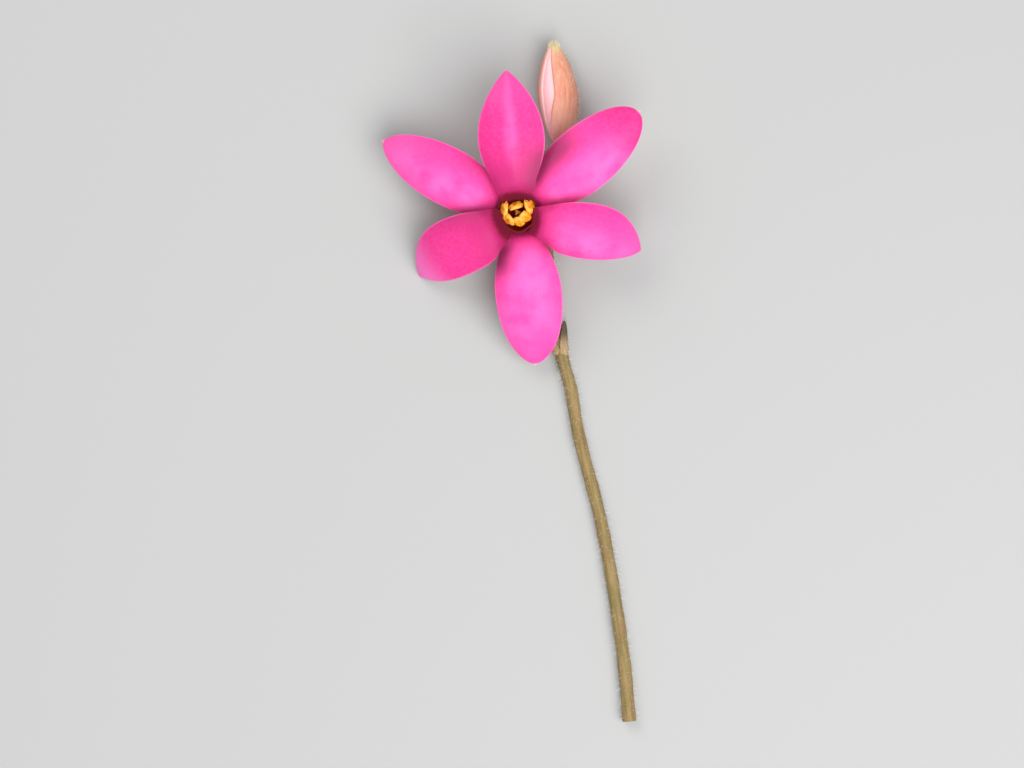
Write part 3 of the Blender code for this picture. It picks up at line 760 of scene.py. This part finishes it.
# routes in mm from the point below the bloom, as (x, y, z, radius)
stemRoutes = {
    "scape": [(4.35, -12.6, 0.62, 0.66), (4.80, -15.1, 0.60, 0.66), (5.54, -17.7, 0.60, 0.65),
              (6.44, -22.9, 0.60, 0.64), (8.37, -30.2, 0.60, 0.65), (9.60, -36.3, 0.60, 0.66),
              (10.97, -45.5, 0.62, 0.68), (11.60, -52.0, 0.64, 0.70)],
    "bloomStalk": [(4.45, -13.4, 0.62, 0.56), (3.45, -10.8, 0.75, 0.52), (1.90, -7.0, 0.85, 0.50),
                   (0.95, -3.4, 0.85, 0.50), (0.62, -1.3, 0.92, 0.50), (0.50, 0.05, 1.18, 0.51),
                   (0.46, 0.74, 1.68, 0.54), (0.44, 0.93, 2.26, 0.60), (0.43, 0.98, 2.80, 0.60)],
    "budStalk": [(4.45, -13.4, 0.62, 0.56), (4.00, -10.5, 0.60, 0.50), (3.45, -5.5, 0.58, 0.48),
                 (3.05, 0.0, 0.60, 0.48), (3.35, 4.3, 1.15, 0.52)],
}
stemForm = {
    "voxel": 0.075,                 # mm, joins the three stalks at the fork
    "smoothing": 8,
    "routePoints": 400,
    "sides": 28,
    "rowsPerMm": 3.0,
    "cutDepth": 0.11,               # mm from the cut end that is laid flat
    "slant": 11.5,                  # degrees between the scape and -Y, which its streaks follow
}


# light skin with long fine dark streaks, faint patches of a third colour and small specks; a cut
# face is pale with a darker ring, and where the look has a "tip" it darkens the far end
def stemMaterial(name, look, scale=900):
    made, tree, shader = newMaterial(name, Roughness=0.62, Specular_IOR_Level=0.35)
    rotate = node(tree, "VectorRotate", {"Vector": objectSpot(tree), "Angle": radians(-stemForm["slant"])},
                  rotation_type="Z_AXIS")
    turned = Field(rotate.outputs["Vector"])
    streak = noiseOf(tree, scale, 4, (4.5, 0.30, 4.5), turned)
    cloud = noiseOf(tree, scale * 0.6, 4, (1.5, 0.45, 1.5), turned)
    fine = noiseOf(tree, scale * 7, 3, (1.4, 0.6, 1.4), turned)
    cut = attributeOf(tree, "cut")
    colour = layered(look, "dark", (streak.ramp(0.36, 0.62), "light"),
                     (cloud.ramp(0.48, 0.72, 0.0, 0.55), "patch"),
                     (fine.ramp(0.58, 0.72, 0.0, 0.5), "dark"))
    if "tip" in look:
        colour = layered(look, colour, (surfaceUv(tree)[0].ramp(0.25, 0.70), "tip"))
    pith = layered(scapeLook, "pith", (fine.ramp(0.40, 0.62), "cutRing"))
    colour = layered(scapeLook, colour, (cut.ramp(0.0, 0.12), "cutRing"), (cut.ramp(0.20, 0.45), pith))
    paint(shader, colour, streak + fine * 0.4, 0.6, 0.00008)
    return made


# pale hair, lighter to its tip
def hairMaterial(name, look):
    made, tree, shader = newMaterial(name, Roughness=0.35, Specular_IOR_Level=0.5, Sheen_Weight=0.2)
    paint(shader, layered(look, "root", (attributeOf(tree, "tip").ramp(0.0, 0.8), "tip")))
    return made


# points near the cut end are laid flat on the cut, and the attribute "cut" grows from its rim to
# its middle
def finishCut(mesh):
    spots = np.empty(len(mesh.vertices) * 3)
    mesh.vertices.foreach_get("co", spots)
    spots = spots.reshape(-1, 3)
    end, before = (np.array(stemRoutes["scape"][k][:3]) for k in (-1, -2))
    radius = stemRoutes["scape"][-1][3]
    onward = unit(end - before)
    offset = spots / mm - below - end
    beyond = offset @ onward
    onFace = (beyond > -stemForm["cutDepth"]) & (np.linalg.norm(offset, axis=1) < 2 * radius)
    spots -= np.where(onFace, beyond, 0.0)[:, None] * onward * mm
    aside = np.linalg.norm(offset - beyond[:, None] * onward, axis=1) / radius
    mesh.vertices.foreach_set("co", spots.ravel())
    pointValues(mesh, "cut", np.where(onFace, smoothStep(0.95, 0.45, aside), 0.0))


# circle carried along each route, its radius uneven by a few sines; the three are joined by a
# voxel remesh and smoothed, so that the fork is one skin
def buildScape(material):
    points, faces, used = [], [], 0
    angle = roundAngles(stemForm["sides"])
    for route in stemRoutes.values():
        given = smoothPath(route, stemForm["routePoints"])
        travelled = lengthAlong(given)
        at = np.linspace(0, travelled[-1], int(travelled[-1] * stemForm["rowsPerMm"]))
        path, radius = np.split(readOff(at, travelled, given), [3], axis=1)
        along, right, up = pathFrame(path)
        uneven = (1 + 0.035 * np.sin(1.3 * at)[:, None] + 0.02 * np.sin(3.7 * at[:, None] + 2 * angle)
                  + 0.025 * np.cos(5 * angle + 0.3 * at[:, None]))
        rings = path[:, None] + (radius * uneven)[..., None] * spoke(right[:, None], up[:, None], angle)
        rings[..., 2] = np.maximum(rings[..., 2], place["lowest"])
        some, more = tubeParts(rings, used)
        points.append(some)
        faces.extend(more)
        used += len(some)
    piece = meshObject("scapeAndStalks", fromTable(np.concatenate(points)), faces)
    faceOutwards(piece.data)
    remesh = piece.modifiers.new("join", "REMESH")
    remesh.mode = "VOXEL"
    remesh.voxel_size = stemForm["voxel"] * mm
    soften = piece.modifiers.new("soften", "SMOOTH")
    soften.iterations = stemForm["smoothing"]
    evaluated = piece.evaluated_get(bpy.context.evaluated_depsgraph_get())
    joined = bpy.data.meshes.new_from_object(evaluated)
    piece.modifiers.clear()
    piece.data = joined
    finishCut(joined)
    joined.shade_smooth()
    joined.materials.clear()
    joined.materials.append(material)
    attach(piece, "root")
    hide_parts("scape")


buildScape(stemMaterial("scapeSkin", scapeLook))
print("scape made")

stemHairs = {
    "perMm": 20,                    # hairs on each mm of stalk
    "length": 0.55,                 # mm
    "radius": 0.012,
    "bend": 0.35,
    "comb": 0.8,                    # lean along the stalk
    "halfTurns": (-0.35, 1.35),     # bearings that carry hairs, from the right side over the top
    "seed": 41, "hairSeed": 50,
    "root": (0.86, 0.80, 0.66, 1),
    "tip": (0.96, 0.93, 0.86, 1),
}
paleHair = hairMaterial("paleHair", stemHairs)


# roots lie on the tube's skin at random lengths and bearings, fewer below
def buildStemHairs():
    rng = np.random.default_rng(stemHairs["seed"])
    for number, (key, route) in enumerate(stemRoutes.items()):
        given = smoothPath(route, stemForm["routePoints"])
        along, right, up = pathFrame(given[:, :3])
        count = int(lengthAlong(given)[-1] * stemHairs["perMm"])
        row = rng.integers(0, stemForm["routePoints"] - 1, count)
        angle = rng.uniform(*(pi * turn for turn in stemHairs["halfTurns"]), count)
        outward = spoke(right[row], up[row], angle)
        roots = given[row, :3] + outward * given[row, 3:] * 0.97
        piece = hairObject(key + "Hairs", roots, outward, along[row] * stemHairs["comb"], stemHairs,
                           stemHairs["hairSeed"] + number)
        piece.data.materials.append(paleHair)
        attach(piece, "root")


buildStemHairs()
print("stem hairs made")


# Ovaries

ovaries = {
    "ovary": dict(node="ovary", radius=1.32,
                  hairs=dict(count=420, length=0.62, radius=0.015, bend=0.4, comb=0.9)),
    "budOvary": dict(node="bud_ovary", radius=1.12,
                     hairs=dict(count=320, length=0.6, radius=0.015, bend=0.4, comb=0.9)),
    "bloomLevels": (-6.0, -3.1),    # mm on the bloom's axis
    "budAxis": [(3.30, 4.35, 1.22), (3.60, 5.6, 1.50), (4.12, 6.95, 1.70)],
    "rows": 40, "sides": 48,
    "light": (0.34, 0.27, 0.10, 1),
    "dark": (0.20, 0.155, 0.050, 1),
    "patch": (0.33, 0.11, 0.07, 1),
}
ovarySkin = stemMaterial("ovarySkin", ovaries, 1300)


# three-sided barrel: its radius follows a half wave along the axis and swells three times round
def buildOvary(name, path, convert, seed):
    shape = ovaries[name]
    t = np.linspace(0, 1, len(path))
    along, right, up = pathFrame(path)
    if np.abs(along[0, 2]) > 0.9:      # an upright one
        right = unit(np.cross(along, [0.0, 1.0, 0.0]))
        up = np.cross(right, along)
    angle = roundAngles(ovaries["sides"])
    radius = shape["radius"] * (0.42 + 0.58 * np.sin(pi * (0.06 + 0.88 * t)) ** 0.75)
    radius = radius[:, None] * (1 + 0.035 * np.cos(3 * angle) + 0.012 * np.cos(12 * angle))
    ray = spoke(right[:, None], up[:, None], angle)
    rings = path[:, None] + radius[..., None] * ray
    piece = tubeObject(name + "Body", convert(rings))
    piece.data.materials.append(ovarySkin)
    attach(piece, "root")
    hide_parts(shape["node"])
    form = shape["hairs"]
    rng = np.random.default_rng(seed)
    row = rng.integers(2, len(path) - 2, form["count"])
    column = rng.integers(0, ovaries["sides"], form["count"])
    roots = convert(rings[row, column]) / mm - below
    outward, comb = (unit(convert(path[row] + way) - convert(path[row]))
                     for way in (ray[row, column], along[row]))
    hairs = hairObject(name + "Hairs", roots, outward, comb * form["comb"], form, seed)
    hairs.data.materials.append(paleHair)
    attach(hairs, "root")


bloomOvaryPath = np.linspace(*([0, 0, level] for level in ovaries["bloomLevels"]), ovaries["rows"])
buildOvary("ovary", bloomOvaryPath, fromBloom, 61)
buildOvary("budOvary", smoothPath(ovaries["budAxis"], ovaries["rows"]), fromTable, 62)
print("ovaries made")


# Bracts

bracts = {
    # base and tip of the line it wraps, in mm, and the side it stands on, in degrees from the top
    "bractOfBloom": dict(node="bract_of_bloom", base=(4.72, -14.4, 0.66), tip=(4.22, -10.9, 0.66),
                         side=50),
    "bractOfBud": dict(node="bract_of_bud", base=(4.42, -14.2, 0.66), tip=(3.42, -10.9, 0.74),
                       side=-62),
    "reach": (0.70, 0.92),          # mm from that line, at the base and the tip
    "wrap": 74,                     # degrees each way at the base
    "thickness": 0.11,
    "sunk": 0.13,                   # mm that its foot sinks into the stem
    "keel": 0.05,                   # mm that its middle stands up
    "rows": 48, "columns": 21,
    "light": (0.43, 0.305, 0.155, 1),
    "dark": (0.30, 0.212, 0.100, 1),
    "patch": (0.30, 0.212, 0.100, 1),
    "tip": (0.090, 0.060, 0.030, 1),
}


# sheath wrapped round the stalk: its angle each way closes to nothing at the tip
def buildBract(name, material):
    shape = bracts[name]
    u = np.linspace(0, 1, bracts["rows"])
    v = np.linspace(-1, 1, bracts["columns"])
    base, tip = np.array(shape["base"]), np.array(shape["tip"])
    path = base + (tip - base) * u[:, None]
    along, right, up = pathFrame(path)
    reach = bracts["reach"][0] + (bracts["reach"][1] - bracts["reach"][0]) * u ** 1.5
    reach = reach - bracts["sunk"] * smoothStep(0.16, 0.0, u)
    wrap = radians(bracts["wrap"]) * (1 - u ** 1.3) ** 0.75 + 0.02
    ray = spoke(up[:, None], right[:, None], radians(shape["side"]) - wrap[:, None] * v)
    keel = bracts["keel"] * np.exp(-(v / 0.18) ** 2)[None]
    top = path[:, None] + (reach[:, None] + keel)[..., None] * ray
    bottom = top - bracts["thickness"] * ray
    piece = bladeObject(name, fromTable(top), fromTable(bottom), u, v)
    piece.data.materials.append(material)
    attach(piece, "root")
    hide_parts(shape["node"])


bractSkin = stemMaterial("bractSkin", bracts, 1600)
for name in ("bractOfBloom", "bractOfBud"):
    buildBract(name, bractSkin)
print("bracts made")


# Bud

bud = {
    "axis": [(4.20, 6.9, 1.72), (4.45, 9.0, 1.88), (4.35, 11.3, 1.95), (4.15, 13.0, 1.98),
             (3.95, 15.2, 2.02), (3.75, 17.7, 2.10)],
    "axisPoints": 121,
    "radius": 2.07, "fullness": 0.65,
    "ends": (0.02, 0.988), "rows": 70, "columns": 36,
    "slitMiddle": -30, "slitHalf": 21, "slitShape": 0.62,  # degrees from the top
    "slitTurn": 20, "slitCloses": 0.5,   # degrees it runs round, and its narrowing, by the foot
    "lines": 7, "pleat": 0.012,     # lines across a shell, and their height as a share
    "wall": 0.20, "insideLowest": 0.12,  # mm
    "coreEnds": (0.05, 0.984), "coreRows": 60, "coreSides": 60,
    "coreRise": 0.22, "coreLowest": 0.2,
    # first and last bearing round the bud in degrees, how far the slit draws each back, height
    # in mm that the edges lap over the neighbour and how pale they are
    "shells": {
        "budTepal1": dict(node="bud_outer_tepal_1", between=(-30, 112), drawn=(1, 0), lap=0.05,
                          paleness=0.10),
        "budTepal2": dict(node="bud_outer_tepal_2", between=(228, 330), drawn=(0, -1), lap=-0.02,
                          paleness=1.0),
        "budTepal3": dict(node="bud_outer_tepal_3", between=(110, 230), drawn=(0, 0), lap=-0.02,
                          paleness=0.3),
    },
    "tan": (0.63, 0.235, 0.138, 1),
    "salmon": (0.72, 0.32, 0.205, 1),
    # paler colour of the foot: its own pale lobe, with painted light against the bloom's cast shadow
    "base": (0.98, 0.58, 0.45, 1),
    "green": (0.46, 0.33, 0.12, 1),
    "vein": (0.70, 0.25, 0.165, 1),
    "margin": (0.97, 0.54, 0.54, 1),
    # colour of the painted shade on the bud's sides
    "flankShade": (0.50, 0.21, 0.125, 1),
    "tipGreen": (0.74, 0.62, 0.28, 1),
    "stripe": (0.97, 0.53, 0.53, 1),
    "stripeDeep": (0.96, 0.42, 0.50, 1),
    "seed": 71,
}
# sunk: the share of the radius at which they start; bearings in degrees from the top
budHairs = {
    "count": 900, "ends": (0.04, 0.97), "bearings": (-10, 230), "sunk": 1.0,
    "length": 0.28, "radius": 0.010, "bend": 0.8, "comb": 1.2,
    "clear": 0.25,                  # mm above the floor below which there are none
    "root": (0.92, 0.74, 0.62, 1),
    "tip": (0.96, 0.93, 0.86, 1),
}
budTuft = {
    "count": 260, "ends": (0.945, 0.988), "bearings": (0, 360), "sunk": 0.95,
    "length": 0.40, "radius": 0.020, "bend": 0.5,
    "root": (0.80, 0.70, 0.34, 1),
    "tip": (0.90, 0.82, 0.52, 1),
}


# middle line of the bud, the direction along it, and the one out from it at a bearing from the top
def budRay(u, bearing):
    path = smoothPath(bud["axis"], bud["axisPoints"])
    marks = np.linspace(0, 1, len(path))
    middle, along, right, up = (readOff(u, marks, part) for part in (path, *pathFrame(path)))
    return middle, along, spoke(up, right, bearing)


# radius at a share of the bud's length: 4 u (1 - u) to the power "fullness"
def budRadius(u):
    return bud["radius"] * (4 * u * (1 - u)) ** bud["fullness"]


# share by which the slit has turned and narrowed: a smooth step towards the foot
def towardsFoot(u):
    return smoothStep(0.60, 0.10, u)


# salmon-tan skin with lines along it, greener at both ends, pale pink beside the slit; painted shade
# darkens its sides, and it is paler towards the foot, partly its own pale lobe there and partly painted
# light that lifts the shadow the bloom casts on it
def budMaterial():
    made, tree, shader = newMaterial("budSkin", Roughness=0.6, Specular_IOR_Level=0.35, Sheen_Weight=0.15,
                                     Sheen_Roughness=0.4)
    along, across = surfaceUv(tree)
    streak = noiseOf(tree, 1500, 4, (2.6, 0.35, 2.6))
    patch = noiseOf(tree, 700, 3)
    line = abs((across * (bud["lines"] * pi)).math("SINE"))
    edge = abs(across).ramp(0.45, 0.98) * attributeOf(tree, "pale")
    colour = layered(
        bud, "tan", (streak.ramp(0.35, 0.65), "salmon"), (line.ramp(0.35, 0.0, 0.0, 0.4), "vein"),
        # paler towards the foot: its pale lobe, and painted light against the bloom's cast shadow
        (along.ramp(0.55, 0.15, 0.0, 0.6), "base"), (along.ramp(0.06, 0.0, 0.0, 0.7), "green"),
        # painted shade on the bud's sides
        (attributeOf(tree, "flankShade"), "flankShade"), (along.ramp(0.86, 1.0, 0.0, 0.85), "tipGreen"),
        (patch.ramp(0.50, 0.70, 0.0, 0.45), "vein"), (edge, "margin"))
    paint(shader, colour, streak + line * 0.6, 0.45, 0.00007)
    return made


# each shell is a sheet at the bud's radius between two bearings; its edges lie out a little so
# that they lap over the neighbour
def buildBudShells(material):
    share = 0.5 - 0.5 * np.cos(np.linspace(0, pi, bud["rows"]))
    u = (bud["ends"][0] + (bud["ends"][1] - bud["ends"][0]) * share)[:, None]
    v = np.linspace(0, 1, bud["columns"])
    across = 1 - 2 * v
    low = towardsFoot(u)
    slit = 2 + (bud["slitHalf"] - 2) * np.sin(pi * u) ** bud["slitShape"]
    slit = slit * (1 - bud["slitCloses"] * low)
    for name, shape in bud["shells"].items():
        first, last = (edge + drawn * slit - abs(drawn) * bud["slitTurn"] * low
                       for edge, drawn in zip(shape["between"], shape["drawn"]))
        bearing = np.radians(last + (first - last) * v)
        middle, along, ray = budRay(u, bearing)
        lap = shape["lap"] * np.cos(pi * v) ** 8
        reach = budRadius(u) * (1 + bud["pleat"] * np.cos(bud["lines"] * pi * across)) + lap
        wall = np.minimum(bud["wall"], 0.75 * budRadius(u)) * (1 - 0.6 * across ** 4)
        outside = middle + reach[..., None] * ray
        outside[..., 2] = np.maximum(outside[..., 2], place["lowest"])
        inside = middle + (reach - wall)[..., None] * ray
        inside[..., 2] = np.maximum(inside[..., 2], bud["insideLowest"])
        pale = shape["paleness"] + (1 - shape["paleness"]) * smoothStep(0.30, 0.12, u)
        # painted shade on the sides of the bud, by bearing
        values = {"pale": pale + np.zeros(reach.shape), "flankShade": 0.8 * np.sin(bearing) ** 6}
        piece = bladeObject(name, fromTable(outside), fromTable(inside), u[:, 0], across, values)
        piece.data.materials.append(material)
        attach(piece, "root")
        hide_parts(shape["node"])


# the rolled inner tepals: a spindle just inside the shells, which rises where the slit shows it
def buildBudCore():
    made, tree, shader = newMaterial("budCoreSkin", Roughness=0.5, Sheen_Weight=0.2)
    streak = noiseOf(tree, 2200, 3, (2.5, 0.3, 2.5))
    colour = layered(bud, "stripe", (streak.ramp(0.35, 0.65, 0.0, 0.5), "stripeDeep"),
                     (surfaceUv(tree)[0].ramp(0.25, 0.0, 0.0, 0.6), "margin"))
    paint(shader, colour, streak, 0.4, 0.00005)
    u = np.linspace(*bud["coreEnds"], bud["coreRows"])[:, None]
    angle = roundAngles(bud["coreSides"])
    facing = radians(360 + bud["slitMiddle"]) - radians(bud["slitTurn"]) * towardsFoot(u)
    shown = np.exp(-((angle - facing) / 0.5) ** 2)
    reach = np.maximum(budRadius(u) - bud["wall"] - 0.05, 0.05) + bud["coreRise"] * shown
    middle, along, ray = budRay(u, angle)
    rings = middle + reach[..., None] * ray
    rings[..., 2] = np.maximum(rings[..., 2], bud["coreLowest"])
    piece = tubeObject("budInnerTepals", fromTable(rings), u[:, 0])
    piece.data.materials.append(made)
    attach(piece, "root")
    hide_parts("bud_inner_tepals")


# roots on the bud at random shares of its length and random bearings, with the way along and out
def budRoots(rng, form):
    u = rng.uniform(*form["ends"], form["count"])
    bearing = np.radians(rng.uniform(*form["bearings"], form["count"]))
    middle, along, ray = budRay(u, bearing)
    return middle + budRadius(u)[:, None] * ray * form["sunk"], along, ray


# short hairs all over the shells, and a tuft at the tip
def buildBudHairs():
    rng = np.random.default_rng(bud["seed"])
    roots, along, ray = budRoots(rng, budHairs)
    keep = roots[:, 2] > budHairs["clear"]
    piece = hairObject("budHairs", roots[keep], ray[keep], along[keep] * budHairs["comb"], budHairs,
                       bud["seed"] + 1)
    piece.data.materials.append(hairMaterial("budHair", budHairs))
    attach(piece, "root")
    roots, along, ray = budRoots(rng, budTuft)
    piece = hairObject("budTuft", roots, unit(along - 0.25 * ray), along - 0.6 * ray, budTuft,
                       bud["seed"] + 2)
    piece.data.materials.append(hairMaterial("tuftHair", budTuft))
    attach(piece, "root")


buildBudShells(budMaterial())
buildBudCore()
buildBudHairs()
print("bud made")


# Floor, light and camera

studio = {
    "floorSize": 3.0,
    "floor": (0.41, 0.41, 0.405, 1),
    "sky": (0.95, 0.97, 1.0, 1), "skyStrength": 0.42,
    "keyFrom": (0.13, -0.16, 0.32), "keySize": 0.42, "keyPower": 2.10,
    "fillFrom": (-0.17, 0.22, 0.28), "fillSize": 0.30, "fillPower": 0.80,
    "cameraHeight": 0.45,
    "pixelsPerMm": 9.7,
    "imageWidth": 1024,
    "lookAt": (0.0, 0.0),           # mm
    "lightsTo": (0.0, 17.3, 5.0),
}


# level floor, even sky, a large key light and a fill, and a camera that looks straight down
def buildStudio():
    mesh = bpy.data.meshes.new("floor")
    half = studio["floorSize"] / 2
    rework(mesh, lambda bm: bmesh.ops.create_grid(bm, x_segments=1, y_segments=1, size=half))
    floor = bpy.data.objects.new("floor", mesh)
    bpy.context.scene.collection.objects.link(floor)
    made, tree, shader = newMaterial("floorPaint", Roughness=0.8, Specular_IOR_Level=0.2)
    shader.inputs["Base Color"].default_value = studio["floor"]
    mesh.materials.append(made)

    world = bpy.data.worlds.new("sky")
    world.use_nodes = True
    sky = world.node_tree.nodes["Background"]
    sky.inputs["Color"].default_value = studio["sky"]
    sky.inputs["Strength"].default_value = studio["skyStrength"]
    bpy.context.scene.world = world

    target = np.array(studio["lightsTo"]) * mm
    for key in ("key", "fill"):
        light = bpy.data.lights.new(key, "AREA")
        light.shape = "DISK"
        light.size = studio[key + "Size"]
        light.energy = studio[key + "Power"]
        lamp = bpy.data.objects.new(key, light)
        lamp.location = target + np.array(studio[key + "From"])
        direction = Vector(target - np.array(lamp.location))
        lamp.rotation_euler = direction.to_track_quat("-Z", "Y").to_euler()
        bpy.context.scene.collection.objects.link(lamp)

    camera = bpy.data.cameras.new("camera")
    wide = studio["imageWidth"] / studio["pixelsPerMm"] * mm
    camera.lens = camera.sensor_width * studio["cameraHeight"] / wide
    camera.clip_start = 0.01
    eye = bpy.data.objects.new("camera", camera)
    eye.location = (studio["lookAt"][0] * mm, studio["lookAt"][1] * mm, studio["cameraHeight"])
    bpy.context.scene.collection.objects.link(eye)
    bpy.context.scene.camera = eye
    bpy.context.scene.view_settings.view_transform = "Standard"


buildStudio()
print("studio made")
